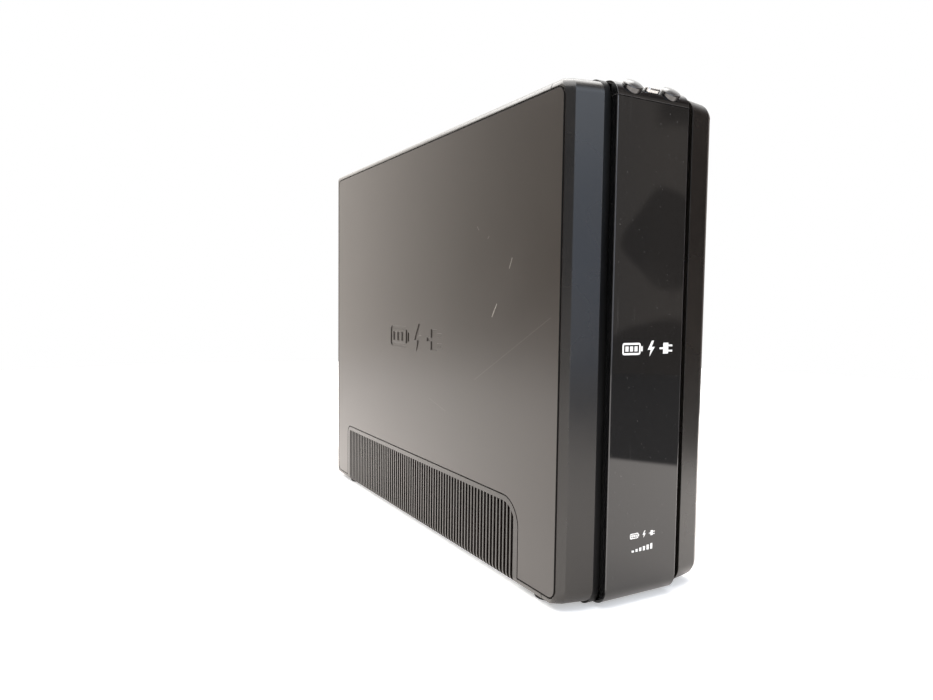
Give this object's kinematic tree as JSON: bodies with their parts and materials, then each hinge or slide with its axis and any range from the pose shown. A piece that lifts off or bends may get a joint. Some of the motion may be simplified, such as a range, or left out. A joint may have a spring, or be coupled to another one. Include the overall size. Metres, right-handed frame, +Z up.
{
  "type": "uninterruptible power supply",
  "caption": "Slim tower uninterruptible power supply with satin grey sides, low louvre grilles, a glossy black front strip with top buttons, and a lift-off battery cover.",
  "frame": {"origin": "centre of the footprint, on the surface that the feet stand on", "axes": "+Z up, -Y towards the glossy front, +X to the right seen from the front"},
  "size_m": [0.112, 0.3836, 0.3026],
  "materials": {
    "satin_case": "dark warm grey satin moulded plastic",
    "satin_skin": "dark warm grey satin, faint brushed grain, light scratches",
    "black_plastic": "black moulded plastic, fine grain",
    "groove_black": "black semi-gloss",
    "gloss_black": "piano black, polished",
    "button_dark": "dark polished plastic",
    "silver": "bright plated",
    "lcd_glass": "unlit display glass, dark",
    "circuit_board": "green solder resist",
    "battery_case": "dark grey battery case",
    "strap": "off-white webbing-like plastic strap",
    "socket_plastic": "black socket plastic",
    "laminations": "varnished steel laminations",
    "winding": "enamelled copper winding under clear tape",
    "zinc_steel": "zinc plated",
    "breaker_plastic": "black moulded plastic",
    "jack_plastic": "dark grey jack plastic",
    "sink_aluminium": "plain extrusion",
    "capacitor_sleeve": "shrink sleeve",
    "relay_case": "blue relay case",
    "foot_rubber": "black rubber"
  },
  "bodies": {
    "case": {"left_shell": "satin_case", "right_shell": "satin_case", "left_grille": "satin_case", "right_grille": "satin_case", "front_bezel": "satin_case", "side_skin": "satin_skin", "battery_bay": "black_plastic", "rear_panel": "black_plastic", "fan_frame": "black_plastic", "front_carrier": "groove_black", "fascia": "gloss_black", "button_cap": "gloss_black", "lcd_module": "lcd_glass", "display_board": "circuit_board", "main_board": "circuit_board", "bay_socket": "socket_plastic", "outlet_1": "socket_plastic", "outlet_2": "socket_plastic", "outlet_3": "socket_plastic", "outlet_4": "socket_plastic", "outlet_5": "socket_plastic", "outlet_6": "socket_plastic", "outlet_7": "socket_plastic", "outlet_8": "socket_plastic", "outlet_9": "socket_plastic", "outlet_10": "socket_plastic", "mains_inlet": "socket_plastic", "transformer_core": "laminations", "transformer_coil": "winding", "transformer_bracket": "zinc_steel", "ground_screw": "zinc_steel", "panel_screw_1": "zinc_steel", "panel_screw_2": "zinc_steel", "panel_screw_3": "zinc_steel", "panel_screw_4": "zinc_steel", "breaker_body": "breaker_plastic", "data_port": "jack_plastic", "network_in_jack": "jack_plastic", "network_out_jack": "jack_plastic", "heat_sink": "sink_aluminium", "capacitor_1": "capacitor_sleeve", "capacitor_2": "capacitor_sleeve", "capacitor_3": "capacitor_sleeve", "relay_1": "relay_case", "relay_2": "relay_case", "foot_1": "foot_rubber", "foot_2": "foot_rubber", "foot_3": "foot_rubber", "foot_4": "foot_rubber"},
    "cover": {"battery_cover": "satin_skin"},
    "battery_pack": {"battery_lower": "battery_case", "battery_upper": "battery_case", "pack_header": "black_plastic", "pack_strap": "strap"},
    "latch": {"cover_latch": "black_plastic"},
    "mute": {"mute_button": "button_dark"},
    "menu": {"menu_button": "silver"},
    "power": {"power_button": "button_dark"},
    "breaker": {"breaker_button": "breaker_plastic"},
    "rotor": {"fan_rotor": "black_plastic"}
  },
  "joints": [
    {"name": "pack_slide", "type": "slide", "parent": "case", "child": "battery_pack", "axis": [-1, 0, 0], "range_m": [0, 0.1]},
    {"name": "cover_slide", "type": "slide", "parent": "case", "child": "cover", "axis": [-1, 0, 0], "range_m": [0, 0.16]},
    {"name": "latch_press", "type": "slide", "parent": "case", "child": "latch", "axis": [0, 0, 1], "range_m": [0, 0.0015], "stiffness_N_per_m": 500},
    {"name": "mute_press", "type": "slide", "parent": "case", "child": "mute", "axis": [0, 0.7071, -0.7071], "range_m": [0, 0.0015], "stiffness_N_per_m": 400},
    {"name": "menu_press", "type": "slide", "parent": "case", "child": "menu", "axis": [0, 0.7071, -0.7071], "range_m": [0, 0.0015], "stiffness_N_per_m": 400},
    {"name": "power_press", "type": "slide", "parent": "case", "child": "power", "axis": [0, 0.7071, -0.7071], "range_m": [0, 0.0015], "stiffness_N_per_m": 400},
    {"name": "breaker_trip", "type": "slide", "parent": "case", "child": "breaker", "axis": [0, 1, 0], "range_m": [0, 0.003]},
    {"name": "fan_spin", "type": "hinge", "parent": "case", "child": "rotor", "pos_m": [0, 0.175, 0.05], "axis": [0, 1, 0], "continuous": true}
  ],
  "couplings": [
    {"joint": "cover_slide", "follows": "pack_slide", "ratio": 1.6}
  ]
}
